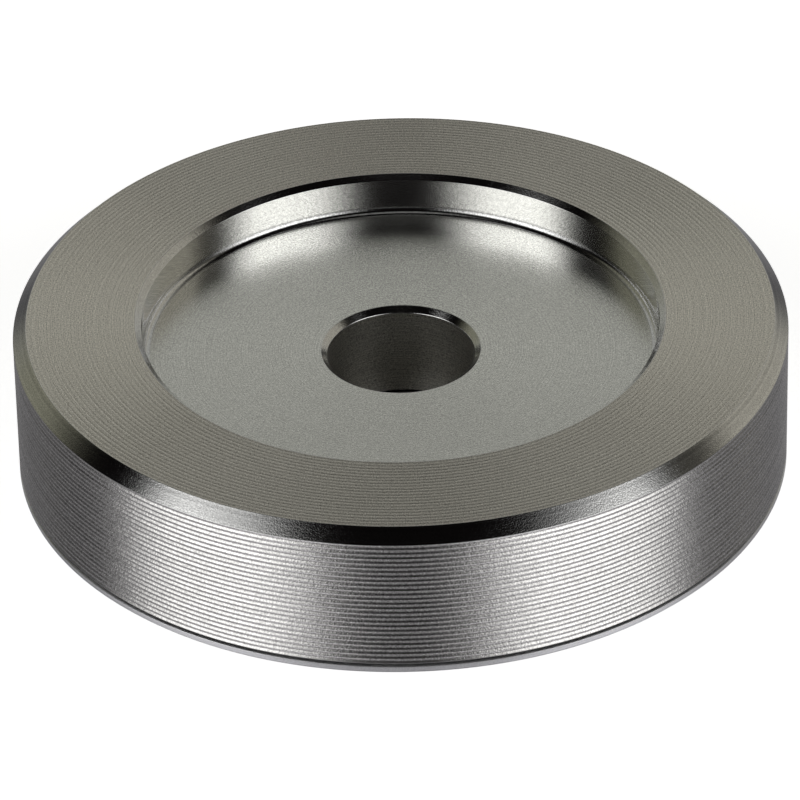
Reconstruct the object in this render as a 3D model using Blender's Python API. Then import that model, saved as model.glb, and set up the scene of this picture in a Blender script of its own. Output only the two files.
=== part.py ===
"""Low all-metal banding wheel: a turned head that spins on a sealed ball bearing over a flat base plate.

Units are metres and +Z is up. The origin is on the spin axis, at the surface that the feet stand on.
The head, the bearing's inner ring and the snap ring turn together. The ball cage follows them at its own
rate. Everything else is fixed to the base plate.
"""

import math

import bmesh
import bpy

# Overall size
WHEEL_RADIUS = 0.0600
FOOT_STAND = 0.0010
BODY_HEIGHT = 0.0254

# Turned head, outside
TOP_CHAMFER = 0.00205
RIM_RADIUS = 0.04104
RIM_CHAMFER = 0.00094
RECESS_DEPTH = 0.00655
RECESS_FILLET = 0.00110
BORE_RADIUS = 0.01144
BORE_CHAMFER = 0.00097
INNER_CHAMFER_SLOPE = math.tan(math.radians(40))
EDGE_BREAK = 0.0003

# Turned head, underside
SKIRT_CLEARANCE = 0.00033
SKIRT_INNER_RADIUS = 0.0523
BOSS_END_ABOVE_BASE = 0.0034
SHOULDER_RADIUS = 0.0184
CAVITY_FILLET = 0.0020
SNAP_GROOVE_RADIUS = 0.0165
SNAP_GROOVE_START = 0.0026

# Base plate, feet and screws
BASE_EDGE_HEIGHT = 0.00125
BASE_EDGE_CHAMFER = 0.00050
BASE_THICKNESS = 0.0030
BASE_STEP_RADIUS = 0.0515
FOOT_RADIUS = 0.0043
FOOT_POCKET_DEPTH = 0.0012
FOOT_CIRCLE_RADIUS = 0.0450
FOOT_EDGE = 0.0005
FOOT_COUNT = 4
SCREW_CIRCLE_RADIUS = 0.0310
SCREW_COUNT = 4
SCREW_HEAD_RADIUS = 0.0028
SCREW_SHANK_RADIUS = 0.00135
SCREW_LENGTH = 0.0060
SCREW_SINK = 0.0001
SOCKET_ACROSS_FLATS = 0.0020
SOCKET_DEPTH = 0.0010

# Thin-section sealed ball bearing, 35 x 44 x 5 mm, twenty 3/32 inch balls
BEARING_BORE_RADIUS = 0.0175
BEARING_OUTER_RADIUS = 0.0220
BEARING_WIDTH = 0.0050
BALL_RADIUS = 0.00119
BALL_COUNT = 20
RACE_CLEARANCE = 0.0002
INNER_SHOULDER_RADIUS = 0.0189
OUTER_SHOULDER_RADIUS = 0.0206
SEAL_SEAT_RADIUS = 0.0209
SEAL_SEAT_DEPTH = 0.0006
SEAL_THICKNESS = 0.00035
CAGE_INNER_RADIUS = 0.0192
CAGE_OUTER_RADIUS = 0.0203
CAGE_BELOW_BALL = 0.0017
CAGE_ABOVE_BALL = 0.0008

# Bearing housing, spacer and snap ring
HOUSING_OUTER_RADIUS = 0.0265
HOUSING_LIP_RADIUS = 0.0209
HOUSING_LIP_THICKNESS = 0.0012
HOUSING_HEADROOM = 0.00055
FLANGE_RADIUS = 0.0360
FLANGE_THICKNESS = 0.0025
SPACER_INNER_RADIUS = 0.0204
SNAP_THICKNESS = 0.0015
SNAP_OUTER_RADIUS = 0.0190
SNAP_GAP_ANGLE = math.radians(24)

# Gaps between pieces that touch on the real object
FIT_GAP = 0.00015
SEAT_GAP = 0.0001

# Facets round a full circle
WHEEL_SEGMENTS = 72
BEARING_SEGMENTS = 48
FOOT_SEGMENTS = 24
SCREW_SEGMENTS = 12
POCKET_SEGMENTS = 24
HEX_SIDES = 6

# Heights worked out from the sizes above
BASE_BOTTOM = FOOT_STAND
BASE_TOP = BASE_BOTTOM + BASE_THICKNESS
SKIRT_BOTTOM = BASE_BOTTOM + BASE_EDGE_HEIGHT + SKIRT_CLEARANCE
TOP = BASE_BOTTOM + BODY_HEIGHT
RECESS_FLOOR = TOP - RECESS_DEPTH
BOSS_END = BASE_BOTTOM + BOSS_END_ABOVE_BASE
SNAP_GROOVE_LOW = BOSS_END + SNAP_GROOVE_START
SNAP_GROOVE_HIGH = SNAP_GROOVE_LOW + SNAP_THICKNESS + SEAT_GAP
BEARING_BOTTOM = SNAP_GROOVE_HIGH + FIT_GAP
BEARING_TOP = BEARING_BOTTOM + BEARING_WIDTH
BALL_HEIGHT = BEARING_BOTTOM + BEARING_WIDTH / 2
HOUSING_BOTTOM = BASE_TOP + SEAT_GAP
HOUSING_LIP_LOW = BEARING_TOP + SEAT_GAP
HOUSING_TOP = HOUSING_LIP_LOW + HOUSING_LIP_THICKNESS
CAVITY_TOP = HOUSING_TOP + HOUSING_HEADROOM
BALL_CIRCLE_RADIUS = (BEARING_BORE_RADIUS + BEARING_OUTER_RADIUS) / 2
HOUSING_BORE_RADIUS = BEARING_OUTER_RADIUS + FIT_GAP


def clear_scene():
    for obj in list(bpy.data.objects):
        bpy.data.objects.remove(obj, do_unlink=True)


def make_material(name, color, roughness, metallic):
    material = bpy.data.materials.new(name)
    material.use_nodes = True
    shader = material.node_tree.nodes["Principled BSDF"]
    shader.inputs["Base Color"].default_value = (*color, 1)
    shader.inputs["Roughness"].default_value = roughness
    shader.inputs["Metallic"].default_value = metallic
    return material


def add_object(name, mesh, material, parent, sharp_angle=math.radians(30)):
    if not mesh.materials:
        mesh.materials.append(material)
        mesh.shade_smooth()
        mesh.set_sharp_from_angle(angle=sharp_angle)
    obj = bpy.data.objects.new(name, mesh)
    bpy.context.scene.collection.objects.link(obj)
    obj.parent = parent
    return obj


def add_axis(name, parent=None):
    """An empty on the spin axis that carries the pieces of one body."""
    empty = bpy.data.objects.new(name, None)
    empty.empty_display_size = WHEEL_RADIUS / 4
    bpy.context.scene.collection.objects.link(empty)
    empty.parent = parent
    return empty


def to_mesh(name, bm):
    bmesh.ops.recalc_face_normals(bm, faces=bm.faces)
    mesh = bpy.data.meshes.new(name)
    bm.to_mesh(mesh)
    bm.free()
    return mesh


def arc(center, radius, start, end, steps):
    """Points of an arc in the (radius, height) plane, angles in degrees, both ends included."""
    angles = [math.radians(start + (end - start) * i / steps) for i in range(steps + 1)]
    return [(center[0] + radius * math.cos(a), center[1] + radius * math.sin(a)) for a in angles]


def circle_angles(segments):
    return [2 * math.pi * i / segments for i in range(segments)]


def hexagon(angle):
    """How much further out a hexagon's edge is at this angle than the middle of its flat."""
    side = 2 * math.pi / HEX_SIDES
    return 1 / math.cos((angle % side) - side / 2)


def turn_into(bm, profile, segments, center=(0, 0), outline=None):
    """Turns a profile of (radius, height) points about a vertical line.

    A profile that starts and ends on the line is closed by one point at each end. Any other is a loop.
    outline is a set of profile indexes whose rings are hexagons and not circles.
    """
    rings = []
    for index, (radius, height) in enumerate(profile):
        if radius == 0:
            rings.append([bm.verts.new((*center, height))] * segments)
            continue
        ring = []
        for angle in circle_angles(segments):
            reach = radius * (hexagon(angle) if outline and index in outline else 1)
            place = (center[0] + reach * math.cos(angle), center[1] + reach * math.sin(angle), height)
            ring.append(bm.verts.new(place))
        rings.append(ring)
    pairs = list(zip(rings, rings[1:]))
    if profile[0][0] > 0:
        pairs.append((rings[-1], rings[0]))
    for low, high in pairs:
        for i in range(segments):
            j = (i + 1) % segments
            corners = [low[i], low[j], high[j], high[i]]
            bm.faces.new(list(dict.fromkeys(corners)))


def turned(name, profile, segments, outline=None):
    bm = bmesh.new()
    turn_into(bm, profile, segments, outline=outline)
    return to_mesh(name, bm)


def places_on_circle(radius, count, start=0.0):
    angles = [start + 2 * math.pi * i / count for i in range(count)]
    return [(radius * math.cos(a), radius * math.sin(a)) for a in angles]


def cut_holes(obj, name, profile, places, segments):
    """Cuts the same turned hole from obj at each place, with one hidden cutter."""
    bm = bmesh.new()
    for place in places:
        turn_into(bm, profile, segments, center=place)
    cutter = bpy.data.objects.new(name, to_mesh(name, bm))
    bpy.context.scene.collection.objects.link(cutter)
    cutter.parent = obj.parent
    cutter.hide_render = True
    cutter.display_type = "WIRE"
    boolean = obj.modifiers.new(name, "BOOLEAN")
    boolean.operation = "DIFFERENCE"
    boolean.object = cutter


def foot_places():
    return places_on_circle(FOOT_CIRCLE_RADIUS, FOOT_COUNT)


def screw_places():
    return places_on_circle(SCREW_CIRCLE_RADIUS, SCREW_COUNT, start=math.pi / SCREW_COUNT)


def head_outside():
    """Profile of the head from the foot of its skirt, over the top and down the bore."""
    wall = RIM_RADIUS - RIM_CHAMFER
    fillet_center = (wall - RECESS_FILLET, RECESS_FLOOR + RECESS_FILLET)
    return [
        (SKIRT_INNER_RADIUS, SKIRT_BOTTOM),
        (WHEEL_RADIUS - EDGE_BREAK, SKIRT_BOTTOM),
        (WHEEL_RADIUS, SKIRT_BOTTOM + EDGE_BREAK),
        (WHEEL_RADIUS, TOP - TOP_CHAMFER),
        (WHEEL_RADIUS - TOP_CHAMFER, TOP),
        (RIM_RADIUS, TOP),
        (wall, TOP - RIM_CHAMFER * INNER_CHAMFER_SLOPE),
        *arc(fillet_center, RECESS_FILLET, 0, -90, 3),
        (BORE_RADIUS + BORE_CHAMFER, RECESS_FLOOR),
        (BORE_RADIUS, RECESS_FLOOR - BORE_CHAMFER * INNER_CHAMFER_SLOPE),
        (BORE_RADIUS, BOSS_END + EDGE_BREAK),
        (BORE_RADIUS + EDGE_BREAK, BOSS_END),
    ]


def head_underside():
    """Profile of the head from the end of its boss, up the bearing seat and out to the skirt."""
    corner = (SKIRT_INNER_RADIUS - CAVITY_FILLET, CAVITY_TOP - CAVITY_FILLET)
    return [
        (BEARING_BORE_RADIUS - EDGE_BREAK, BOSS_END),
        (BEARING_BORE_RADIUS, BOSS_END + EDGE_BREAK),
        (BEARING_BORE_RADIUS, SNAP_GROOVE_LOW),
        (SNAP_GROOVE_RADIUS, SNAP_GROOVE_LOW),
        (SNAP_GROOVE_RADIUS, SNAP_GROOVE_HIGH),
        (BEARING_BORE_RADIUS, SNAP_GROOVE_HIGH),
        (BEARING_BORE_RADIUS, BEARING_TOP + SEAT_GAP),
        (SHOULDER_RADIUS, BEARING_TOP + SEAT_GAP),
        (SHOULDER_RADIUS, CAVITY_TOP),
        *arc(corner, CAVITY_FILLET, 90, 0, 3),
    ]


def add_wheel_head(parent):
    mesh = turned("wheel_head", head_outside() + head_underside(), WHEEL_SEGMENTS)
    turned_metal = make_material("turned_metal", (0.42, 0.41, 0.39), 0.3, 1)
    add_object("wheel_head", mesh, turned_metal, parent)


def add_base_plate(parent):
    profile = [
        (0, BASE_BOTTOM),
        (WHEEL_RADIUS - BASE_EDGE_CHAMFER, BASE_BOTTOM),
        (WHEEL_RADIUS, BASE_BOTTOM + BASE_EDGE_CHAMFER),
        (WHEEL_RADIUS, BASE_BOTTOM + BASE_EDGE_HEIGHT),
        (BASE_STEP_RADIUS, BASE_BOTTOM + BASE_EDGE_HEIGHT),
        (BASE_STEP_RADIUS, BASE_TOP),
        (0, BASE_TOP),
    ]
    mesh = turned("base_plate", profile, WHEEL_SEGMENTS)
    satin_metal = make_material("satin_metal", (0.52, 0.52, 0.55), 0.45, 1)
    plate = add_object("base_plate", mesh, satin_metal, parent)
    reach = 0.001
    pocket_radius = FOOT_RADIUS + FIT_GAP
    pocket = [
        (0, BASE_BOTTOM - reach),
        (pocket_radius, BASE_BOTTOM - reach),
        (pocket_radius, BASE_BOTTOM + FOOT_POCKET_DEPTH),
        (0, BASE_BOTTOM + FOOT_POCKET_DEPTH),
    ]
    cut_holes(plate, "foot_pockets", pocket, foot_places(), POCKET_SEGMENTS)
    sink = SCREW_HEAD_RADIUS + FIT_GAP
    hole = SCREW_SHANK_RADIUS + 2 * FIT_GAP
    countersink = [
        (0, BASE_BOTTOM - reach),
        (sink, BASE_BOTTOM - reach),
        (sink, BASE_BOTTOM + SCREW_SINK + EDGE_BREAK),
        (hole, BASE_BOTTOM + SCREW_SINK + EDGE_BREAK + sink - hole),
        (hole, BASE_TOP + reach),
        (0, BASE_TOP + reach),
    ]
    cut_holes(plate, "screw_holes", countersink, screw_places(), POCKET_SEGMENTS)


def add_feet(parent):
    pocket_top = BASE_BOTTOM + FOOT_POCKET_DEPTH - SEAT_GAP
    profile = [
        (0, 0),
        (FOOT_RADIUS - FOOT_EDGE, 0),
        (FOOT_RADIUS, FOOT_EDGE),
        (FOOT_RADIUS, pocket_top),
        (0, pocket_top),
    ]
    mesh = turned("foot", profile, FOOT_SEGMENTS)
    rubber = make_material("foot_rubber", (0.03, 0.03, 0.03), 0.8, 0)
    for number, (x, y) in enumerate(foot_places(), 1):
        add_object(f"foot_{number}", mesh, rubber, parent).location = (x, y, 0)


def add_screws(parent):
    head = BASE_BOTTOM + SCREW_SINK
    socket = SOCKET_ACROSS_FLATS / 2
    cone_end = head + EDGE_BREAK + SCREW_HEAD_RADIUS - SCREW_SHANK_RADIUS
    profile = [
        (0, head + SOCKET_DEPTH),
        (socket, head + SOCKET_DEPTH),
        (socket, head),
        (SCREW_HEAD_RADIUS, head),
        (SCREW_HEAD_RADIUS, head + EDGE_BREAK),
        (SCREW_SHANK_RADIUS, cone_end),
        (SCREW_SHANK_RADIUS, head + SCREW_LENGTH - EDGE_BREAK),
        (SCREW_SHANK_RADIUS - EDGE_BREAK, head + SCREW_LENGTH),
        (0, head + SCREW_LENGTH),
    ]
    mesh = turned("base_screw", profile, SCREW_SEGMENTS, outline={1, 2})
    steel = make_material("screw_steel", (0.35, 0.35, 0.36), 0.35, 1)
    for number, (x, y) in enumerate(screw_places(), 1):
        add_object(f"base_screw_{number}", mesh, steel, parent).location = (x, y, 0)


def add_bearing_housing(parent):
    flange_top = HOUSING_BOTTOM + FLANGE_THICKNESS
    profile = [
        (HOUSING_BORE_RADIUS, HOUSING_BOTTOM),
        (FLANGE_RADIUS, HOUSING_BOTTOM),
        (FLANGE_RADIUS, flange_top),
        (HOUSING_OUTER_RADIUS, flange_top),
        (HOUSING_OUTER_RADIUS, HOUSING_TOP - EDGE_BREAK),
        (HOUSING_OUTER_RADIUS - EDGE_BREAK, HOUSING_TOP),
        (HOUSING_LIP_RADIUS, HOUSING_TOP),
        (HOUSING_LIP_RADIUS, HOUSING_LIP_LOW),
        (HOUSING_BORE_RADIUS, HOUSING_LIP_LOW),
    ]
    mesh = turned("bearing_housing", profile, BEARING_SEGMENTS)
    metal = make_material("housing_metal", (0.6, 0.6, 0.6), 0.4, 1)
    housing = add_object("bearing_housing", mesh, metal, parent)
    reach = 0.001
    thread = SCREW_SHANK_RADIUS + FIT_GAP
    hole = [
        (0, HOUSING_BOTTOM - reach),
        (thread, HOUSING_BOTTOM - reach),
        (thread, flange_top + reach),
        (0, flange_top + reach),
    ]
    cut_holes(housing, "tapped_holes", hole, screw_places(), SCREW_SEGMENTS)


def add_ring(name, inner, outer, low, high, segments, material, parent):
    profile = [(inner, low), (outer, low), (outer, high), (inner, high)]
    add_object(name, turned(name, profile, segments), material, parent)


def race_arc(outward, steps=4):
    """The ball groove's points, between the heights where it meets its ring's shoulder."""
    radius = BALL_RADIUS + RACE_CLEARANCE
    shoulder = OUTER_SHOULDER_RADIUS if outward else INNER_SHOULDER_RADIUS
    half = math.degrees(math.acos(abs(shoulder - BALL_CIRCLE_RADIUS) / radius))
    middle = 0 if outward else 180
    center = (BALL_CIRCLE_RADIUS, BALL_HEIGHT)
    return arc(center, radius, middle - half, middle + half, steps)


def add_bearing_rings(wheel, base):
    steel = make_material("bearing_steel", (0.6, 0.6, 0.62), 0.2, 1)
    bore = BEARING_BORE_RADIUS + FIT_GAP
    inner = [
        (bore, BEARING_TOP),
        (INNER_SHOULDER_RADIUS, BEARING_TOP),
        *race_arc(outward=False),
        (INNER_SHOULDER_RADIUS, BEARING_BOTTOM),
        (bore, BEARING_BOTTOM),
    ]
    add_object("bearing_inner_ring", turned("bearing_inner_ring", inner, BEARING_SEGMENTS), steel, wheel)
    outer = [
        (BEARING_OUTER_RADIUS, BEARING_BOTTOM),
        (SEAL_SEAT_RADIUS, BEARING_BOTTOM),
        (SEAL_SEAT_RADIUS, BEARING_BOTTOM + SEAL_SEAT_DEPTH),
        (OUTER_SHOULDER_RADIUS, BEARING_BOTTOM + SEAL_SEAT_DEPTH),
        *race_arc(outward=True),
        (OUTER_SHOULDER_RADIUS, BEARING_TOP - SEAL_SEAT_DEPTH),
        (SEAL_SEAT_RADIUS, BEARING_TOP - SEAL_SEAT_DEPTH),
        (SEAL_SEAT_RADIUS, BEARING_TOP),
        (BEARING_OUTER_RADIUS, BEARING_TOP),
    ]
    add_object("bearing_outer_ring", turned("bearing_outer_ring", outer, BEARING_SEGMENTS), steel, base)


def add_balls(parent):
    steel = make_material("ball_steel", (0.7, 0.7, 0.72), 0.1, 1)
    bm = bmesh.new()
    bmesh.ops.create_icosphere(bm, subdivisions=2, radius=BALL_RADIUS)
    mesh = to_mesh("ball", bm)
    for number, (x, y) in enumerate(places_on_circle(BALL_CIRCLE_RADIUS, BALL_COUNT), 1):
        ball = add_object(f"bearing_ball_{number:02d}", mesh, steel, parent, sharp_angle=math.pi)
        ball.location = (x, y, BALL_HEIGHT)


def cage_top(angle):
    """Height of the cage's crown above the balls' middle: a round pocket at each ball, a post between."""
    pitch = 2 * math.pi / BALL_COUNT
    away = abs((angle + pitch / 2) % pitch - pitch / 2) * BALL_CIRCLE_RADIUS
    pocket = BALL_RADIUS + RACE_CLEARANCE
    if away >= pocket:
        return CAGE_ABOVE_BALL
    return -math.sqrt(pocket**2 - away**2)


def add_cage(parent):
    pocket_angle = (BALL_RADIUS + RACE_CLEARANCE) / BALL_CIRCLE_RADIUS
    offsets = [-1.001, -0.999, -0.6, 0, 0.6, 0.999, 1.001]
    bm = bmesh.new()
    sections = []
    for ball in range(BALL_COUNT):
        for offset in offsets:
            angle = 2 * math.pi * ball / BALL_COUNT + offset * pocket_angle
            heights = (BALL_HEIGHT - CAGE_BELOW_BALL, BALL_HEIGHT + cage_top(angle))
            corners = [
                (CAGE_INNER_RADIUS, heights[0]),
                (CAGE_OUTER_RADIUS, heights[0]),
                (CAGE_OUTER_RADIUS, heights[1]),
                (CAGE_INNER_RADIUS, heights[1]),
            ]
            section = [bm.verts.new((r * math.cos(angle), r * math.sin(angle), z)) for r, z in corners]
            sections.append(section)
    for first, second in zip(sections, sections[1:] + sections[:1]):
        for i in range(4):
            j = (i + 1) % 4
            bm.faces.new([first[i], first[j], second[j], second[i]])
    nylon = make_material("cage_nylon", (0.7, 0.66, 0.55), 0.6, 0)
    add_object("bearing_cage", to_mesh("bearing_cage", bm), nylon, parent)


def add_seals(parent):
    rubber = make_material("seal_rubber", (0.05, 0.05, 0.05), 0.7, 0)
    inner = INNER_SHOULDER_RADIUS + FIT_GAP
    outer = SEAL_SEAT_RADIUS - SEAT_GAP
    inset = (SEAL_SEAT_DEPTH - SEAL_THICKNESS) / 2
    low = BEARING_BOTTOM + inset
    high = BEARING_TOP - inset - SEAL_THICKNESS
    for name, bottom in (("bearing_lower_seal", low), ("bearing_upper_seal", high)):
        add_ring(name, inner, outer, bottom, bottom + SEAL_THICKNESS, BEARING_SEGMENTS, rubber, parent)


def add_spacer(parent):
    metal = make_material("spacer_metal", (0.6, 0.6, 0.6), 0.4, 1)
    outer = BEARING_OUTER_RADIUS - FIT_GAP
    top = BEARING_BOTTOM - SEAT_GAP
    heights = (HOUSING_BOTTOM, top)
    add_ring("outer_ring_spacer", SPACER_INNER_RADIUS, outer, *heights, BEARING_SEGMENTS, metal, parent)


def add_snap_ring(parent):
    """A flat wire ring, open at its gap, in the groove near the end of the boss."""
    inner = SNAP_GROOVE_RADIUS + FIT_GAP
    low = SNAP_GROOVE_LOW + SEAT_GAP / 2
    high = low + SNAP_THICKNESS
    corners = [(inner, low), (SNAP_OUTER_RADIUS, low), (SNAP_OUTER_RADIUS, high), (inner, high)]
    bm = bmesh.new()
    sections = []
    for i in range(BEARING_SEGMENTS + 1):
        angle = SNAP_GAP_ANGLE / 2 + (2 * math.pi - SNAP_GAP_ANGLE) * i / BEARING_SEGMENTS
        sections.append([bm.verts.new((r * math.cos(angle), r * math.sin(angle), z)) for r, z in corners])
    for first, second in zip(sections, sections[1:]):
        for i in range(4):
            j = (i + 1) % 4
            bm.faces.new([first[i], first[j], second[j], second[i]])
    bm.faces.new(sections[0])
    bm.faces.new(sections[-1])
    steel = make_material("spring_steel", (0.25, 0.25, 0.26), 0.35, 1)
    add_object("boss_snap_ring", to_mesh("boss_snap_ring", bm), steel, parent)


def main():
    clear_scene()
    base = add_axis("base_axis")
    wheel = add_axis("wheel_axis", base)
    cage = add_axis("cage_axis", base)
    add_base_plate(base)
    add_feet(base)
    add_screws(base)
    add_bearing_housing(base)
    add_spacer(base)
    add_seals(base)
    add_bearing_rings(wheel, base)
    add_cage(cage)
    add_balls(cage)
    add_wheel_head(wheel)
    add_snap_ring(wheel)


main()
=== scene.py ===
"""Looks for the low all-metal banding wheel: fine turned surfaces, procedural metals and soft studio light.

Every size is in metres, in the CAD model's frame: origin on the spin axis at the surface the feet stand on.
"""

import math

import bmesh
import bpy
from mathutils import Matrix, Vector


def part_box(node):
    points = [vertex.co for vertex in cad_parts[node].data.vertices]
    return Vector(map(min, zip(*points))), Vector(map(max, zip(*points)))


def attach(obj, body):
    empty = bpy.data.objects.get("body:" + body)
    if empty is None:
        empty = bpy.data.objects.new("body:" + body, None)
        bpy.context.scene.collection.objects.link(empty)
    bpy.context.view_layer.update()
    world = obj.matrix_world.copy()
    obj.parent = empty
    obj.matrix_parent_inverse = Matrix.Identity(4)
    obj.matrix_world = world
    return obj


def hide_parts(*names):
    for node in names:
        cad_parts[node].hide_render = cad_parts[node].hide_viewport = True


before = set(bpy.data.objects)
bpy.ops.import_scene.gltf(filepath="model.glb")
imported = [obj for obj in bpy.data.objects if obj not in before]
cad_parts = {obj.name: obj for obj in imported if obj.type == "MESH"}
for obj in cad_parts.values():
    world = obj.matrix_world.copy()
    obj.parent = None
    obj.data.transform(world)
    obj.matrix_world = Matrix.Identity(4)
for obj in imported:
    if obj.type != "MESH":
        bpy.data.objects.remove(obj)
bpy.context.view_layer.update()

# Corners of the CAD nodes that the fine pieces stand for
HEAD_LOW, HEAD_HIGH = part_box("wheel_head")
PLATE_LOW, PLATE_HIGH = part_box("base_plate")
FOOT_LOW, FOOT_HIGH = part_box("foot_1")
SCREW_LOW, SCREW_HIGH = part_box("base_screw_1")
HOUSING_LOW, HOUSING_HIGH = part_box("bearing_housing")
SPACER_LOW, SPACER_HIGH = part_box("outer_ring_spacer")
RACE_LOW, RACE_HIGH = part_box("bearing_outer_ring")
SNAP_LOW, SNAP_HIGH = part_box("boss_snap_ring")
CAGE_LOW, CAGE_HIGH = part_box("bearing_cage")

MICRON = 1e-6

# The round on a machined corner, and the gaps that pieces keep side by side and face to face
CORNER = 0.00010
FIT_GAP = 0.00015
SEAT_GAP = 0.0001

# Turned head
RADIUS = HEAD_HIGH.x
TOP = HEAD_HIGH.z
SKIRT_BOTTOM = HEAD_LOW.z
TOP_CHAMFER = 0.00205
RIM_RADIUS = 0.04104
RIM_CHAMFER = 0.00094
RECESS_FLOOR = TOP - 0.00655
RECESS_FILLET = 0.00110
BORE_RADIUS = 0.01144
BORE_CHAMFER = 0.00097
INNER_CHAMFER_SLOPE = math.tan(math.radians(40))
BOSS_RADIUS = 0.0175
BOSS_END = 0.0044
SNAP_GROOVE_RADIUS = 0.0165
SNAP_GROOVE_PLAY = 0.00005
SHOULDER_RADIUS = 0.0184
BOSS_CORNER = 0.00004
CAVITY_TOP = HOUSING_HIGH.z + 0.00055
CAVITY_FILLET = 0.0020
SKIRT_INNER_RADIUS = 0.0523
SKIRT_EDGE = 0.0003
SIDE_GROOVE_PITCH = 0.000825
SIDE_GROOVE_DEPTH = 172 * MICRON
LAND_GROOVE_PITCH = 0.000768
LAND_GROOVE_DEPTH = 38 * MICRON
GROOVE_VARIATION = 0.05
# One groove from crest to crest: share of the pitch, share of the depth
SIDE_GROOVE = ((0, 0), (0.07, 0.04), (0.42, 0.93), (0.50, 1), (0.58, 0.93), (0.93, 0.04))
LAND_GROOVE = ((0, 0), (0.22, 0.1), (0.38, 0.7), (0.50, 1), (0.62, 0.7), (0.78, 0.1))

# Base plate
PLATE_BOTTOM = PLATE_LOW.z
PLATE_TOP = PLATE_HIGH.z
PLATE_EDGE_TOP = PLATE_BOTTOM + 0.00125
PLATE_STEP_RADIUS = 0.0515
PLATE_EDGE_CHAMFER = 0.0005

# Bearing, 35 x 44 x 5 mm
BEARING_BORE_RADIUS = BOSS_RADIUS + FIT_GAP
BEARING_OUTER_RADIUS = RACE_HIGH.x
BALL_RADIUS = 0.00119
BALL_COUNT = 20
BALL_CIRCLE_RADIUS = 0.01975
BALL_HEIGHT = (RACE_LOW.z + RACE_HIGH.z) / 2
RACE_RADIUS = BALL_RADIUS + 0.0002
INNER_SHOULDER_RADIUS = 0.0189
OUTER_SHOULDER_RADIUS = 0.0206
SEAL_SEAT_RADIUS = 0.0209
SEAL_SEAT_DEPTH = 0.0006
SEAL_CORNER = 0.00008
CAGE_INNER_RADIUS = 0.0192
CAGE_OUTER_RADIUS = 0.0203
SNAP_OUTER_RADIUS = 0.0190
SNAP_GAP = math.radians(24)

# Housing and spacer
HOUSING_BODY_RADIUS = 0.0265
FLANGE_TOP = HOUSING_LOW.z + 0.0025
SPACER_INNER_RADIUS = 0.0204

# Screws and feet
SCREW_COUNT = 4
SCREW_CIRCLE_RADIUS = 0.0310
SCREW_HEAD_RADIUS = 0.0028
SCREW_HEAD_EDGE = 0.0003
SCREW_SHANK_RADIUS = 0.00135
SCREW_TIP_CHAMFER = 0.0003
FOOT_COUNT = 4
FOOT_CIRCLE_RADIUS = (FOOT_LOW.x + FOOT_HIGH.x) / 2
FOOT_RADIUS = (FOOT_HIGH.x - FOOT_LOW.x) / 2
FOOT_DISH = 0.00025
FOOT_CORNER = 0.00015

# Meshes
CUTTER_REACH = 0.001
HEAD_SEGMENTS = 256
RING_SEGMENTS = 160
SMALL_SEGMENTS = 48
FILLET_STEPS = 8
HEX_SIDES = 6
SMOOTH_ANGLE = math.radians(28)

# Textures: sizes in metres, and how much of each pattern shows in the colour
TOOL_MARK_SIZE = 0.00012
CLOUD_SIZE = 1 / 60
HEIGHT_SHARE = 0.73
GRAIN_SHARE = 0.65
RING_SHARE = 0.35
MOTTLE_RANGE = (0.34, 0.66)
METAL_ROUGHNESS_RANGE = (0.88, 1.12)
PLASTIC_ROUGHNESS_RANGE = (0.9, 1.1)
PLASTIC_LIGHT_GRAIN = 1.35

# Camera: a long lens, looking down at the front of the wheel
CAMERA_ELEVATION = math.radians(33.65)
CAMERA_ROLL = math.radians(1.20)
CAMERA_DISTANCE = 1.0908
CAMERA_LENS_MM = 313.3
CAMERA_SENSOR_MM = 36.0
CAMERA_CLIP = (0.05, 50.0)
CAMERA_AIM_RIGHT = -0.00048
CAMERA_AIM_UP = 0.00771

# Studio light, in degrees. turn is 0 at the camera and grows to the right, side is turn without its sign, and
# height is above the horizon. An edge is where the light is gone, where it is full, and sometimes its share.
BOX_COLOR = (1.0, 1.0, 0.98)
BOX_STRENGTH = 2.6
RIGHT_BOX_START = (12, 42, BOX_STRENGTH)
RIGHT_BOX_END = (91, 66)
RIGHT_BOX_TOP = ((54, 46, 0.17), (46, 36, 0.83))
LEFT_BOX_START = (-14, -44, BOX_STRENGTH)
LEFT_BOX_END = (91, 67)
LEFT_BOX_TOP = ((56, 48, 0.32), (46, 36, 0.68))
BOX_BOTTOM = ((-12, 7, 0.64), (16, 27, 0.36))
BOX_NARROWING = (40, 30, 2.4)
BOX_TOP_DROPS_FROM = 60.0
BOX_TOP_DROP = 0.16
BACK_TOP_EDGE = (50, 34)
BACK_LOW_EDGE = (-8, 6)
BACK_RIGHT_COLOR = (0.46, 0.44, 0.375)
BACK_RIGHT_START = ((84, 90, 0.15), (98, 110, 0.85))
BACK_LEFT_COLOR = (0.265, 0.262, 0.20)
BACK_LEFT_START = (-102, -125)
BACK_SIDE_END = (165, 130)
BACK_MIDDLE_COLOR = (0.485, 0.49, 0.462)
BACK_MIDDLE_START = (130, 165)
TABLE_COLOR = (0.40, 0.396, 0.405)
TABLE_EDGE = (7, -25)
TABLE_LIGHT = 0.31
TABLE_NEAR_LIGHT = ((110, 80, 0.32), (18, 46, 0.2))
TABLE_RIGHT_LIGHT = (-100, 100, 0.10)
TABLE_STEEP = (-40, -65)
TABLE_STEEP_LOSS = 0.5
GLOW_START = (28, 48)
GLOW_END = (93, 70)
GLOW = 0.65
GLOW_STEEP_GAIN = 1.5
OVERHEAD_COLOR = (0.20, 0.20, 0.193)
OVERHEAD_EDGE = (68, 82)
HAZE_COLOR = (1.0, 0.98, 1.0)
HAZE_TOP = (30, 8, 0.02)
HAZE_END = (110, 50)
DARK_COLOR = (0.004, 0.0035, 0.0035)

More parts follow.
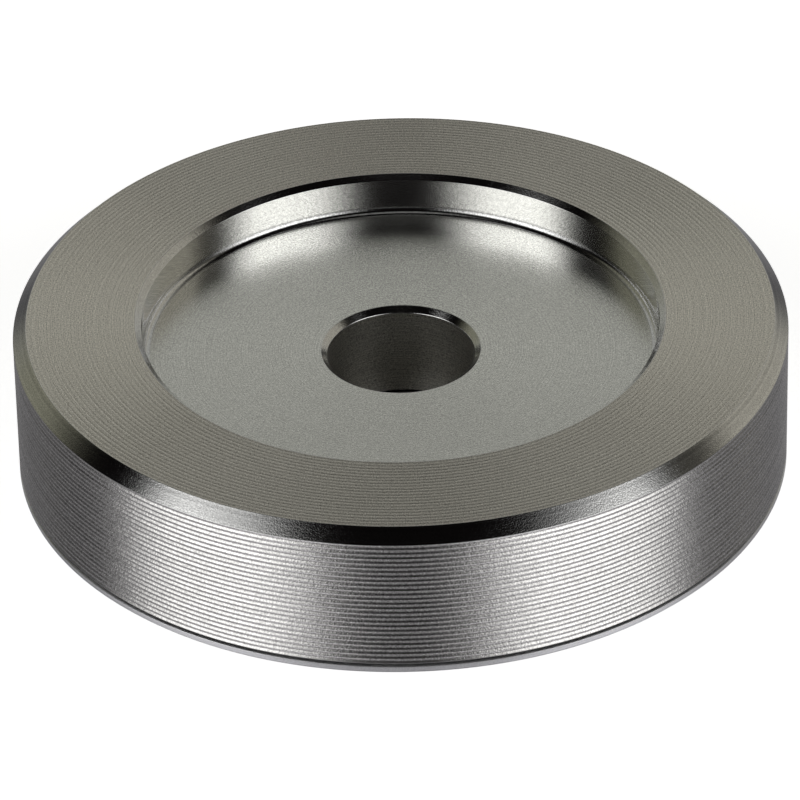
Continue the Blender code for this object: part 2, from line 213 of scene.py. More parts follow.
# What the camera sees behind the wheel
BACKGROUND_COLOR = (0.9, 0.9, 0.9, 1)
PAPER_COLOR = (0.86, 0.86, 0.86, 1)
PAPER_ROUGHNESS = 0.9
PAPER_GLOW = 0.75
PAPER_HALF_WIDTH = 6.0
PAPER_DROP = 0.00005


# ---------------------------------------------------------------- profiles


def arc(center, radius, start, end, steps):
    """Points of an arc in the (radius, height) plane, angles in degrees, both ends included."""
    angles = [math.radians(start + (end - start) * i / steps) for i in range(steps + 1)]
    return [(center[0] + radius * math.cos(a), center[1] + radius * math.sin(a)) for a in angles]


def rounded(before, corner, after, radius=CORNER, steps=3):
    """The small round that takes the place of a corner between two straight stretches."""
    corner = Vector(corner)
    to_before = (Vector(before) - corner).normalized()
    to_after = (Vector(after) - corner).normalized()
    half = to_before.angle(to_after) / 2
    middle = (to_before + to_after).normalized()
    center = corner + middle * (radius / math.sin(half))
    first = corner + to_before * (radius / math.tan(half)) - center
    last = corner + to_after * (radius / math.tan(half)) - center
    start = math.atan2(first.y, first.x)
    turn = math.remainder(math.atan2(last.y, last.x) - start, 2 * math.pi)
    return arc(center, radius, math.degrees(start), math.degrees(start + turn), steps)


def rounded_outline(corners, radius=CORNER, steps=3, closed=True):
    """A profile through the corners with every one of them rounded; an open one keeps its two ends."""
    count = len(corners)
    points = []
    for i, corner in enumerate(corners):
        if not closed and i in (0, count - 1):
            points.append(corner)
            continue
        points += rounded(corners[i - 1], corner, corners[(i + 1) % count], radius, steps)
    return points


def grooves(start, end, pitch, depth, shape):
    """A straight stretch cut with ring grooves of varying depth, walked with the metal on its left."""
    start, end = Vector(start), Vector(end)
    along = end - start
    inward = Vector((-along.y, along.x)).normalized()
    count = round(along.length / pitch)
    points = []
    for groove in range(count):
        wave = math.sin(groove * 2.4) * math.cos(groove * 0.7)
        own_depth = depth * (1 - GROOVE_VARIATION + GROOVE_VARIATION * wave)
        for share, sunk in shape:
            points.append(tuple(start + along * ((groove + share) / count) + inward * own_depth * sunk))
    return points + [tuple(end)]


def hexagon(angle):
    """How much further out a hexagon's edge is at this angle than the middle of its flat."""
    side = 2 * math.pi / HEX_SIDES
    return 1 / math.cos((angle % side) - side / 2)


def places_on_circle(radius, count, start=0.0):
    """Evenly spaced (x, y) places."""
    angles = [start + 2 * math.pi * i / count for i in range(count)]
    return [(radius * math.cos(a), radius * math.sin(a)) for a in angles]


# ---------------------------------------------------------------- meshes


def profile_normals(points, closed):
    """A normal for each profile point, weighted by the lengths of the two stretches that meet there."""
    count = len(points)
    normals = []
    for i in range(count):
        total = Vector((0, 0))
        for j in (i - 1, i):
            if not closed and not 0 <= j < count - 1:
                continue
            step = Vector(points[(j + 1) % count]) - Vector(points[j])
            total += Vector((step.y, -step.x))
        normals.append(total.normalized())
    return normals


def smooth_by_angle(mesh):
    mesh.shade_smooth()
    mesh.set_sharp_from_angle(angle=SMOOTH_ANGLE)


def turned_mesh(name, sections, segments, closed=True, hex_sections=(), own_normals=True):
    """Turns a profile about the Z axis. sections is a list of (points, material index) that join end to end.

    The metal is on the left of the profile's direction. A profile that starts and ends on the axis is open.
    """
    points, owners = [], []
    for index, (stretch, material) in enumerate(sections):
        fresh = stretch[1:] if points and (Vector(stretch[0]) - Vector(points[-1])).length < 1e-9 else stretch
        points += fresh
        owners += [(material, index)] * len(fresh)
    if closed and (Vector(points[0]) - Vector(points[-1])).length < 1e-9:
        points.pop()
        owners.pop()
    normals = profile_normals(points, closed)
    angles = [2 * math.pi * i / segments for i in range(segments)]
    vertices, vertex_normals, rings = [], [], []
    for (radius, height), normal, (_, index) in zip(points, normals, owners):
        if radius < 1e-9:
            rings.append([len(vertices)] * segments)
            vertices.append((0, 0, height))
            vertex_normals.append((0, 0, normal.y))
            continue
        rings.append(range(len(vertices), len(vertices) + segments))
        for angle in angles:
            reach = radius * (hexagon(angle) if index in hex_sections else 1)
            vertices.append((reach * math.cos(angle), reach * math.sin(angle), height))
            vertex_normals.append((normal.x * math.cos(angle), normal.x * math.sin(angle), normal.y))
    faces, materials = [], []
    last = len(points) if closed else len(points) - 1
    for i in range(last):
        low, high = rings[i], rings[(i + 1) % len(points)]
        for s in range(segments):
            t = (s + 1) % segments
            faces.append(list(dict.fromkeys((low[s], low[t], high[t], high[s]))))
            materials.append(owners[(i + 1) % len(points)][0])
    mesh = bpy.data.meshes.new(name)
    mesh.from_pydata(vertices, [], faces)
    mesh.polygons.foreach_set("material_index", materials)
    mesh.shade_smooth()
    if own_normals:
        mesh.normals_split_custom_set_from_vertices(vertex_normals)
    else:
        mesh.set_sharp_from_angle(angle=SMOOTH_ANGLE)
    mesh.update()
    return mesh


def add_piece(name, mesh, materials, body, node):
    """Puts a fine piece where its CAD node is, on that node's body with the given materials, and hides that
    node.
    """
    for material in materials:
        mesh.materials.append(material)
    obj = bpy.data.objects.new(name, mesh)
    bpy.context.scene.collection.objects.link(obj)
    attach(obj, body)
    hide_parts(node)


def moved_copy(mesh, place):
    copy = mesh.copy()
    copy.transform(Matrix.Translation(place))
    return copy


def bmesh_to_mesh(name, bm):
    bmesh.ops.recalc_face_normals(bm, faces=bm.faces)
    mesh = bpy.data.meshes.new(name)
    bm.to_mesh(mesh)
    bm.free()
    return mesh


def row_at(bm, section, angle):
    """The (radius, height) corners of a section as vertices, turned about the Z axis to an angle."""
    return [bm.verts.new((r * math.cos(angle), r * math.sin(angle), z)) for r, z in section]


def swept(bm, rows):
    """Joins each row of corners to the next one with a band of faces."""
    for first, second in zip(rows, rows[1:]):
        for i in range(len(first)):
            j = (i + 1) % len(first)
            bm.faces.new([first[i], first[j], second[j], second[i]])


def cut(mesh, holes, material):
    """The mesh with holes cut out of it, smooth except at its real edges. holes are (mesh, places) pairs."""
    bm = bmesh.new()
    for hole, places in holes:
        for x, y in places:
            bm.from_mesh(moved_copy(hole, (x, y, 0)))
    cutter = bpy.data.objects.new("cutter", bmesh_to_mesh("cutter", bm))
    blank = bpy.data.objects.new("blank", mesh)
    for obj in (cutter, blank):
        obj.data.materials.append(material)
        bpy.context.scene.collection.objects.link(obj)
    boolean = blank.modifiers.new("cut", "BOOLEAN")
    boolean.operation = "DIFFERENCE"
    boolean.object = cutter
    graph = bpy.context.evaluated_depsgraph_get()
    made = bpy.data.meshes.new_from_object(blank.evaluated_get(graph))
    for obj in (cutter, blank):
        bpy.data.objects.remove(obj, do_unlink=True)
    made.materials.clear()
    smooth_by_angle(made)
    return made


def plain_turned(name, profile, segments, closed=False):
    return turned_mesh(name, [(profile, 0)], segments, closed, own_normals=False)


# ---------------------------------------------------------------- materials


def node(tree, kind, inputs=None, **settings):
    """A new shader node. Each input is either another node's output or a plain value."""
    made = tree.nodes.new(kind)
    for key, value in settings.items():
        setattr(made, key, value)
    for key, value in (inputs or {}).items():
        if isinstance(value, bpy.types.NodeSocket):
            tree.links.new(value, made.inputs[key])
        else:
            made.inputs[key].default_value = value
    return made


def new_material(name):
    """A fresh material with its node tree and its shader."""
    material = bpy.data.materials.new(name)
    material.use_nodes = True
    return material, material.node_tree, material.node_tree.nodes["Principled BSDF"]


def noise(tree, inputs, **settings):
    return node(tree, "ShaderNodeTexNoise", inputs, **settings).outputs["Fac"]


def bump(tree, pattern, depth, **inputs):
    """The normal of a surface with this pattern raised by depth."""
    return node(
        tree, "ShaderNodeBump", {"Height": pattern, "Strength": 1.0, "Distance": depth, **inputs}
    ).outputs[0]


def color_between(tree, factor, first, second):
    inputs = {"Factor": factor, "A": (*first, 1), "B": (*second, 1)}
    return node(tree, "ShaderNodeMix", inputs, data_type="RGBA").outputs["Result"]


def math_node(tree, operation, *values):
    return node(tree, "ShaderNodeMath", dict(enumerate(values)), operation=operation).outputs[0]


def ring_coordinate(tree):
    """A length that changes steadily across any turned surface: radius plus a share of the height."""
    position = node(tree, "ShaderNodeTexCoord").outputs["Object"]
    split = node(tree, "ShaderNodeSeparateXYZ", {0: position})
    square_x = math_node(tree, "MULTIPLY", split.outputs["X"], split.outputs["X"])
    square_y = math_node(tree, "MULTIPLY", split.outputs["Y"], split.outputs["Y"])
    radius = math_node(tree, "SQRT", math_node(tree, "ADD", square_x, square_y))
    share = math_node(tree, "MULTIPLY", split.outputs["Z"], HEIGHT_SHARE)
    return math_node(tree, "ADD", radius, share), position


def varied(tree, pattern, amount, shares):
    """An amount that a pattern varies between a low and a high share of it."""
    low, high = shares
    inputs = {"Value": pattern, "To Min": amount * low, "To Max": amount * high}
    return node(tree, "ShaderNodeMapRange", inputs).outputs["Result"]


def metal(name, color, roughness, ring_depth, grain_depth, brushed=0.0, grain_size=0.00022, tint=0.06):
    """Machined metal with fine ring-shaped tool marks and a random grain.

    tint is how much both patterns show in the colour. brushed stretches the gloss across the tool marks.
    """
    material, tree, shader = new_material(name)
    shader.inputs["Metallic"].default_value = 1.0
    if brushed:
        shader.inputs["Anisotropic"].default_value = brushed
        shader.inputs["Anisotropic Rotation"].default_value = 0.25
        tangent = node(tree, "ShaderNodeTangent", direction_type="RADIAL", axis="Z")
        tree.links.new(tangent.outputs[0], shader.inputs["Tangent"])
    coordinate, position = ring_coordinate(tree)
    fine = {"Detail": 2.0, "Roughness": 0.6}
    rings = noise(tree, {"W": coordinate, "Scale": 1 / TOOL_MARK_SIZE, **fine}, noise_dimensions="1D")
    grain = noise(tree, {"Vector": position, "Scale": 1 / grain_size, **fine})
    clouds = noise(tree, {"Vector": position, "Scale": 1 / CLOUD_SIZE, "Detail": 3.0})
    ringed = bump(tree, rings, ring_depth)
    tree.links.new(bump(tree, grain, grain_depth, Normal=ringed), shader.inputs["Normal"])
    grain_part = math_node(tree, "MULTIPLY", grain, GRAIN_SHARE)
    ring_part = math_node(tree, "MULTIPLY", rings, RING_SHARE)
    mixed = math_node(tree, "ADD", grain_part, ring_part)
    low, high = MOTTLE_RANGE
    mottle = node(tree, "ShaderNodeMapRange", {"Value": mixed, "From Min": low, "From Max": high})
    dark = tuple(c * (1 - tint) for c in color)
    light = tuple(min(1.0, c * (1 + tint)) for c in color)
    tree.links.new(color_between(tree, mottle.outputs["Result"], dark, light), shader.inputs["Base Color"])
    varied_roughness = varied(tree, clouds, roughness, METAL_ROUGHNESS_RANGE)
    tree.links.new(varied_roughness, shader.inputs["Roughness"])
    return material


def soft_plastic(name, color, roughness, grain_depth, grain_size=0.0004):
    """Moulded rubber or nylon with a fine matt grain."""
    material, tree, shader = new_material(name)
    position = node(tree, "ShaderNodeTexCoord").outputs["Object"]
    grain = noise(tree, {"Vector": position, "Scale": 1 / grain_size, "Detail": 3.0})
    tree.links.new(bump(tree, grain, grain_depth), shader.inputs["Normal"])
    light = tuple(min(1.0, c * PLASTIC_LIGHT_GRAIN) for c in color)
    tree.links.new(color_between(tree, grain, color, light), shader.inputs["Base Color"])
    varied_roughness = varied(tree, grain, roughness, PLASTIC_ROUGHNESS_RANGE)
    tree.links.new(varied_roughness, shader.inputs["Roughness"])
    return material


# ---------------------------------------------------------------- pieces of the wheel


def head_sections():
    """The head's profile, from the inside foot of the skirt, over the outside and back under the cavity."""
    side, chamfer, land, polished, satin, bore, under = range(7)
    wall = RIM_RADIUS - RIM_CHAMFER
    skirt_in = (SKIRT_INNER_RADIUS, SKIRT_BOTTOM)
    skirt_out = (RADIUS - SKIRT_EDGE, SKIRT_BOTTOM)
    side_low = (RADIUS, SKIRT_BOTTOM + SKIRT_EDGE)
    side_high = (RADIUS, TOP - TOP_CHAMFER)
    land_out = (RADIUS - TOP_CHAMFER, TOP)
    land_in = (RIM_RADIUS, TOP)
    wall_top = (wall, TOP - RIM_CHAMFER * INNER_CHAMFER_SLOPE)
    wall_foot = (wall, RECESS_FLOOR + RECESS_FILLET)
    fillet_center = (wall - RECESS_FILLET, RECESS_FLOOR + RECESS_FILLET)
    bore_rim = (BORE_RADIUS + BORE_CHAMFER, RECESS_FLOOR)
    bore_top = (BORE_RADIUS, RECESS_FLOOR - BORE_CHAMFER * INNER_CHAMFER_SLOPE)
    bore_low = (BORE_RADIUS, BOSS_END + SKIRT_EDGE)
    boss_in = (BORE_RADIUS + SKIRT_EDGE, BOSS_END)
    boss_out = (BOSS_RADIUS - SKIRT_EDGE, BOSS_END)
    seat_low = (BOSS_RADIUS, BOSS_END + SKIRT_EDGE)
    groove_low, groove_high = SNAP_LOW.z - SNAP_GROOVE_PLAY, SNAP_HIGH.z + SNAP_GROOVE_PLAY
    shoulder = RACE_HIGH.z + SEAT_GAP
    cavity = (SKIRT_INNER_RADIUS - CAVITY_FILLET, CAVITY_TOP - CAVITY_FILLET)
    boss = rounded_outline(
        [
            (BOSS_RADIUS, groove_low),
            (SNAP_GROOVE_RADIUS, groove_low),
            (SNAP_GROOVE_RADIUS, groove_high),
            (BOSS_RADIUS, groove_high),
            (BOSS_RADIUS, shoulder),
            (SHOULDER_RADIUS, shoulder),
            (SHOULDER_RADIUS, CAVITY_TOP),
            (cavity[0], CAVITY_TOP),
        ],
        radius=BOSS_CORNER,
        steps=2,
        closed=False,
    )
    low_round = rounded(skirt_out, side_low, side_high)
    high_round = rounded(side_low, side_high, land_out)
    land_round = rounded(side_high, land_out, land_in)
    rim_round = rounded(land_out, land_in, wall_top)
    wall_round = rounded(land_in, wall_top, wall_foot)
    floor_arc = arc(fillet_center, RECESS_FILLET, 0, -90, FILLET_STEPS)
    bore_round = rounded((fillet_center[0], RECESS_FLOOR), bore_rim, bore_top)
    bore_edge = rounded(bore_rim, bore_top, bore_low, radius=2 * CORNER)
    return [
        ([skirt_in] + rounded(skirt_in, skirt_out, side_low), under),
        (low_round, chamfer),
        (grooves(low_round[-1], high_round[0], SIDE_GROOVE_PITCH, SIDE_GROOVE_DEPTH, SIDE_GROOVE), side),
        (high_round + land_round, chamfer),
        (grooves(land_round[-1], rim_round[0], LAND_GROOVE_PITCH, LAND_GROOVE_DEPTH, LAND_GROOVE), land),
        (rim_round + wall_round[:1], chamfer),
        (wall_round + floor_arc[:1], polished),
        (floor_arc, chamfer),
        ([floor_arc[-1], bore_round[0]], satin),
        (bore_round + bore_edge, chamfer),
        ([bore_edge[-1]] + rounded(bore_top, bore_low, boss_in), bore),
        (rounded(bore_low, boss_in, boss_out) + rounded(boss_in, boss_out, seat_low), under),
        (rounded(boss_out, seat_low, boss[0]) + boss, under),
        (arc(cavity, CAVITY_FILLET, 90, 0, FILLET_STEPS) + [skirt_in], under),
    ]


def add_head():
    side = metal(
        "turned_side", (0.68, 0.67, 0.665), 0.20, 3 * MICRON, 27 * MICRON, grain_size=0.0003, tint=0.32
    )
    chamfer = metal("polished_chamfer", (0.55, 0.55, 0.55), 0.07, 1 * MICRON, 15 * MICRON, tint=0.34)
    land = metal(
        "turned_land", (0.64, 0.60, 0.545), 0.35, 6 * MICRON, 42 * MICRON, brushed=0.80, tint=0.60
    )
    wall = metal("polished_wall", (0.67, 0.67, 0.67), 0.05, 1 * MICRON, 3 * MICRON, tint=0.10)
    floor = metal(
        "satin_floor", (0.67, 0.67, 0.64), 0.25, 1 * MICRON, 28 * MICRON, brushed=0.4, tint=0.36
    )
    # The bore's colour is darker than the rest of the head's metal: painted shade for the inside of the deep
    # bore.
    bore = metal("bored_wall_painted_shade", (0.41, 0.40, 0.37), 0.44, 8 * MICRON, 16 * MICRON, tint=0.60)
    under = metal("turned_underside", (0.60, 0.60, 0.59), 0.32, 6 * MICRON, 6 * MICRON)
    materials = [side, chamfer, land, wall, floor, bore, under]
    mesh = turned_mesh("wheel_head_turned", head_sections(), HEAD_SEGMENTS)
    add_piece("wheel_head_turned", mesh, materials, "wheel", "wheel_head")


def foot_places():
    return places_on_circle(FOOT_CIRCLE_RADIUS, FOOT_COUNT)


def screw_places():
    return places_on_circle(SCREW_CIRCLE_RADIUS, SCREW_COUNT, start=math.pi / SCREW_COUNT)


def add_base_plate():
    edge = rounded_outline(
        [
            (0, PLATE_BOTTOM),
            (RADIUS - PLATE_EDGE_CHAMFER, PLATE_BOTTOM),
            (RADIUS, PLATE_BOTTOM + PLATE_EDGE_CHAMFER),
            (RADIUS, PLATE_EDGE_TOP),
            (PLATE_STEP_RADIUS, PLATE_EDGE_TOP),
            (PLATE_STEP_RADIUS, PLATE_TOP),
            (0, PLATE_TOP),
        ],
        closed=False,
    )
    blank = plain_turned("base_plate_turned", edge, HEAD_SEGMENTS)
    below, above = PLATE_BOTTOM - CUTTER_REACH, PLATE_TOP + CUTTER_REACH
    mouth_chamfer = 0.0002
    pocket_radius = FOOT_RADIUS + FIT_GAP
    pocket_top = FOOT_HIGH.z + SEAT_GAP
    pocket = plain_turned(
        "pocket",
        [
            (0, below),
            (pocket_radius + mouth_chamfer, below),
            (pocket_radius + mouth_chamfer, PLATE_BOTTOM),
            (pocket_radius, PLATE_BOTTOM + mouth_chamfer),
            (pocket_radius, pocket_top),
            (0, pocket_top),
        ],
        SMALL_SEGMENTS,
    )
    sink = SCREW_HEAD_RADIUS + FIT_GAP
    hole = SCREW_SHANK_RADIUS + 2 * FIT_GAP
    flat = SCREW_LOW.z + SCREW_HEAD_EDGE
    countersink = plain_turned(
        "countersink",
        [(0, below), (sink, below), (sink, flat), (hole, flat + sink - hole), (hole, above), (0, above)],
        SMALL_SEGMENTS,
    )
    satin = metal("satin_plate", (0.88, 0.88, 0.91), 0.36, 3 * MICRON, 10 * MICRON, tint=0.12)
    mesh = cut(blank, [(pocket, foot_places()), (countersink, screw_places())], satin)
    add_piece("base_plate_turned", mesh, [satin], "base", "base_plate")


def add_feet():
    """Moulded rubber feet with a rounded edge and a shallow dish in the sole."""
    rubber = soft_plastic("foot_rubber_grained", (0.022, 0.022, 0.023), 0.62, 30 * MICRON)
    dish_radius, dish_rim = FOOT_RADIUS * 0.45, FOOT_RADIUS * 0.55
    sole_inset, sole_rise = 0.0003, 0.0005
    profile = rounded_outline(
        [
            (0, FOOT_DISH),
            (dish_radius, FOOT_DISH),
            (dish_rim, 0),
            (FOOT_RADIUS - sole_inset, 0),
            (FOOT_RADIUS, sole_rise),
            (FOOT_RADIUS, FOOT_HIGH.z),
            (0, FOOT_HIGH.z),
        ],
        radius=FOOT_CORNER,
        steps=4,
        closed=False,
    )
    mesh = turned_mesh("foot_moulded", [(profile, 0)], SMALL_SEGMENTS, closed=False)
    for number, (x, y) in enumerate(foot_places(), 1):
        copy = moved_copy(mesh, (x, y, 0))
        add_piece(f"foot_{number}_moulded", copy, [rubber], "base", f"foot_{number}")


def add_screws():
    """Countersunk screws with a chamfered hexagon socket."""
    steel = metal("screw_steel_turned", (0.42, 0.42, 0.43), 0.28, 4 * MICRON, 3 * MICRON)
    head = SCREW_LOW.z
    tip = SCREW_HIGH.z
    socket, socket_end, lead = 0.0010, head + 0.0010, 0.0002
    edge_break = 0.0001
    head_edge = head + SCREW_HEAD_EDGE
    cone_end = head_edge + SCREW_HEAD_RADIUS - SCREW_SHANK_RADIUS
    sections = [
        ([(0, socket_end), (socket, socket_end)], 0),
        ([(socket, socket_end), (socket, head + lead)], 0),
        ([(socket + lead, head), (SCREW_HEAD_RADIUS - edge_break, head)], 0),
        ([(SCREW_HEAD_RADIUS, head + edge_break), (SCREW_HEAD_RADIUS, head_edge)], 0),
        ([(SCREW_SHANK_RADIUS, cone_end), (SCREW_SHANK_RADIUS, tip - SCREW_TIP_CHAMFER)], 0),
        ([(SCREW_SHANK_RADIUS - SCREW_TIP_CHAMFER, tip), (0, tip)], 0),
    ]
    mesh = turned_mesh(
        "base_screw_fine",
        sections,
        SMALL_SEGMENTS,
        closed=False,
        hex_sections={0, 1},
        own_normals=False,
    )
    for number, (x, y) in enumerate(screw_places(), 1):
        copy = moved_copy(mesh, (x, y, 0))
        add_piece(f"base_screw_{number}_fine", copy, [steel], "base", f"base_screw_{number}")


def add_housing():
    bore = BEARING_OUTER_RADIUS + FIT_GAP
    lip_low = RACE_HIGH.z + SEAT_GAP
    profile = rounded_outline(
        [
            (bore, HOUSING_LOW.z),
            (HOUSING_HIGH.x, HOUSING_LOW.z),
            (HOUSING_HIGH.x, FLANGE_TOP),
            (HOUSING_BODY_RADIUS, FLANGE_TOP),
            (HOUSING_BODY_RADIUS, HOUSING_HIGH.z),
            (SEAL_SEAT_RADIUS, HOUSING_HIGH.z),
            (SEAL_SEAT_RADIUS, lip_low),
            (bore, lip_low),
        ]
    )
    blank = plain_turned("bearing_housing_turned", profile, RING_SEGMENTS, closed=True)
    below, above = HOUSING_LOW.z - CUTTER_REACH, FLANGE_TOP + CUTTER_REACH
    thread = SCREW_SHANK_RADIUS + FIT_GAP
    hole_profile = [(0, below), (thread, below), (thread, above), (0, above)]
    hole = plain_turned("tapped_hole", hole_profile, SMALL_SEGMENTS)
    turned = metal("housing_turned", (0.62, 0.62, 0.62), 0.3, 6 * MICRON, 3 * MICRON)
    mesh = cut(blank, [(hole, screw_places())], turned)
    add_piece("bearing_housing_turned", mesh, [turned], "base", "bearing_housing")


def add_ring(name, corners, material, body, cad_node, radius=CORNER):
    mesh = turned_mesh(name, [(rounded_outline(corners, radius), 0)], RING_SEGMENTS)
    add_piece(name, mesh, [material], body, cad_node)


def race(outward, steps=12):
    """The ball groove's points, between the two heights where it meets its ring's shoulder."""
    shoulder = OUTER_SHOULDER_RADIUS if outward else INNER_SHOULDER_RADIUS
    half = math.degrees(math.acos(abs(shoulder - BALL_CIRCLE_RADIUS) / RACE_RADIUS))
    middle = 0 if outward else 180
    points = arc((BALL_CIRCLE_RADIUS, BALL_HEIGHT), RACE_RADIUS, middle - half, middle + half, steps)
    return points[::-1]


def add_bearing():
    ground = metal("bearing_steel_ground", (0.68, 0.68, 0.70), 0.16, 2 * MICRON, 1 * MICRON)
    low, high = RACE_LOW.z, RACE_HIGH.z
    inner = [
        (BEARING_BORE_RADIUS, low),
        (INNER_SHOULDER_RADIUS, low),
        *race(outward=False),
        (INNER_SHOULDER_RADIUS, high),
        (BEARING_BORE_RADIUS, high),
    ]
    mesh = turned_mesh("bearing_inner_ring_ground", [(inner, 0)], RING_SEGMENTS)
    add_piece("bearing_inner_ring_ground", mesh, [ground], "wheel", "bearing_inner_ring")
    outer = [
        (BEARING_OUTER_RADIUS, low),
        (BEARING_OUTER_RADIUS, high),
        (SEAL_SEAT_RADIUS, high),
        (SEAL_SEAT_RADIUS, high - SEAL_SEAT_DEPTH),
        (OUTER_SHOULDER_RADIUS, high - SEAL_SEAT_DEPTH),
        *race(outward=True),
        (OUTER_SHOULDER_RADIUS, low + SEAL_SEAT_DEPTH),
        (SEAL_SEAT_RADIUS, low + SEAL_SEAT_DEPTH),
        (SEAL_SEAT_RADIUS, low),
    ]
    mesh = turned_mesh("bearing_outer_ring_ground", [(outer, 0)], RING_SEGMENTS)
    add_piece("bearing_outer_ring_ground", mesh, [ground], "base", "bearing_outer_ring")


def add_balls():
    polished = metal("ball_steel_polished", (0.75, 0.75, 0.77), 0.06, 0.5 * MICRON, 0.5 * MICRON)
    bm = bmesh.new()
    bmesh.ops.create_icosphere(bm, subdivisions=4, radius=BALL_RADIUS)
    mesh = bmesh_to_mesh("ball_round", bm)
    mesh.shade_smooth()
    for number, (x, y) in enumerate(places_on_circle(BALL_CIRCLE_RADIUS, BALL_COUNT), 1):
        cad = f"bearing_ball_{number:02d}"
        copy = moved_copy(mesh, (x, y, BALL_HEIGHT))
        add_piece(f"{cad}_round", copy, [polished], "ball_cage", cad)


def add_cage():
    """Crown cage: a nylon ring with a round pocket under each ball and a post between each two."""
    pocket = RACE_RADIUS
    pitch = 2 * math.pi / BALL_COUNT
    pocket_angle = pocket / BALL_CIRCLE_RADIUS
    just_outside = 1.001
    across = [math.sin(math.radians(a)) for a in range(-88, 89, 16)]
    bm = bmesh.new()
    rows = []
    for ball in range(BALL_COUNT):
        for share in [-just_outside, *across, just_outside]:
            angle = ball * pitch + share * pocket_angle
            away = abs(share) * pocket
            top = CAGE_HIGH.z if away >= pocket else BALL_HEIGHT - math.sqrt(pocket**2 - away**2)
            section = [
                (CAGE_INNER_RADIUS, CAGE_LOW.z),
                (CAGE_OUTER_RADIUS, CAGE_LOW.z),
                (CAGE_OUTER_RADIUS, top),
                (CAGE_INNER_RADIUS, top),
            ]
            rows.append(row_at(bm, section, angle))
    swept(bm, rows + rows[:1])
    mesh = bmesh_to_mesh("bearing_cage_moulded", bm)
    smooth_by_angle(mesh)
    nylon = soft_plastic("cage_nylon_moulded", (0.55, 0.50, 0.40), 0.5, 10 * MICRON)
    add_piece("bearing_cage_moulded", mesh, [nylon], "ball_cage", "bearing_cage")


def add_seals():
    rubber = soft_plastic("seal_rubber_moulded", (0.03, 0.03, 0.032), 0.6, 10 * MICRON)
    inner = INNER_SHOULDER_RADIUS + FIT_GAP
    for cad in ("bearing_lower_seal", "bearing_upper_seal"):
        low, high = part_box(cad)
        corners = [(inner, low.z), (high.x, low.z), (high.x, high.z), (inner, high.z)]
        add_ring(f"{cad}_moulded", corners, rubber, "base", cad, radius=SEAL_CORNER)


def add_spacer():
    turned = metal("spacer_turned", (0.60, 0.60, 0.60), 0.32, 6 * MICRON, 3 * MICRON)
    inner, outer = SPACER_INNER_RADIUS, SPACER_HIGH.x
    low, high = SPACER_LOW.z, SPACER_HIGH.z
    corners = [(inner, low), (outer, low), (outer, high), (inner, high)]
    add_ring("outer_ring_spacer_turned", corners, turned, "base", "outer_ring_spacer")


def add_snap_ring():
    """A flat wire ring, open at its gap, with rounded edges."""
    inner, outer = SNAP_GROOVE_RADIUS + FIT_GAP, SNAP_OUTER_RADIUS
    low, high = SNAP_LOW.z, SNAP_HIGH.z
    section = rounded_outline([(inner, low), (outer, low), (outer, high), (inner, high)])
    bm = bmesh.new()
    rows = []
    for i in range(RING_SEGMENTS + 1):
        angle = SNAP_GAP / 2 + (2 * math.pi - SNAP_GAP) * i / RING_SEGMENTS
        rows.append(row_at(bm, section, angle))
    swept(bm, rows)
    bm.faces.new(rows[0])
    bm.faces.new(rows[-1])
    mesh = bmesh_to_mesh("boss_snap_ring_wire", bm)
    smooth_by_angle(mesh)
    steel = metal("spring_steel_wire", (0.22, 0.22, 0.23), 0.35, 3 * MICRON, 3 * MICRON)
    add_piece("boss_snap_ring_wire", mesh, [steel], "wheel", "boss_snap_ring")


# ---------------------------------------------------------------- studio


def add_floor():
    """Pale paper, a hair below the feet so that the two don't share a surface."""
    half, level = PAPER_HALF_WIDTH, -PAPER_DROP
    mesh = bpy.data.meshes.new("studio_floor")
    corners = [(-half, -half, level), (half, -half, level), (half, half, level), (-half, half, level)]
    mesh.from_pydata(corners, [], [(0, 1, 2, 3)])
    material, _, shader = new_material("studio_paper")
    shader.inputs["Base Color"].default_value = PAPER_COLOR
    shader.inputs["Roughness"].default_value = PAPER_ROUGHNESS
    shader.inputs["Emission Color"].default_value = (1, 1, 1, 1)
    shader.inputs["Emission Strength"].default_value = PAPER_GLOW
    mesh.materials.append(material)
    floor = bpy.data.objects.new("studio_floor", mesh)
    bpy.context.scene.collection.objects.link(floor)
    floor.visible_glossy = False


def ramp(tree, value, start, end, height=1.0):
    """A soft step: 0 where value is start or beyond it, height where value is end or beyond it."""
    low, high = min(start, end), max(start, end)
    at_low, at_high = (height, 0.0) if start > end else (0.0, height)
    inputs = {"Value": value, "From Min": low, "From Max": high, "To Min": at_low, "To Max": at_high}
    return node(tree, "ShaderNodeMapRange", inputs, interpolation_type="SMOOTHSTEP").outputs["Result"]


def ramps(tree, value, edges):
    """Two or more soft steps added up."""
    return added(tree, *[ramp(tree, value, *edge) for edge in edges])


def added(tree, *terms):
    total = terms[0]
    for term in terms[1:]:
        total = math_node(tree, "ADD", total, term)
    return total


def product(tree, *factors):
    total = factors[0]
    for factor in factors[1:]:
        total = math_node(tree, "MULTIPLY", total, factor)
    return total


def tinted(tree, color, strength):
    """A colour scaled by a strength, as a vector to add up."""
    return node(tree, "ShaderNodeVectorMath", {0: color, "Scale": strength}, operation="SCALE").outputs[0]


def box_lights(tree, turn, side, height):
    """Two soft boxes, left and right. Their top edges drop towards the camera, and they narrow low down."""
    bottom = ramps(tree, height, BOX_BOTTOM)
    inward = math_node(tree, "MAXIMUM", math_node(tree, "SUBTRACT", BOX_TOP_DROPS_FROM, side), 0.0)
    level = added(tree, height, product(tree, inward, BOX_TOP_DROP))
    end = added(tree, side, ramp(tree, height, *BOX_NARROWING))
    boxes = []
    for start_edge, end_edge, top_edges in (
        (RIGHT_BOX_START, RIGHT_BOX_END, RIGHT_BOX_TOP),
        (LEFT_BOX_START, LEFT_BOX_END, LEFT_BOX_TOP),
    ):
        across = product(tree, ramp(tree, turn, *start_edge), ramp(tree, end, *end_edge))
        boxes.append(product(tree, across, ramps(tree, level, top_edges), bottom))
    return added(tree, *boxes)


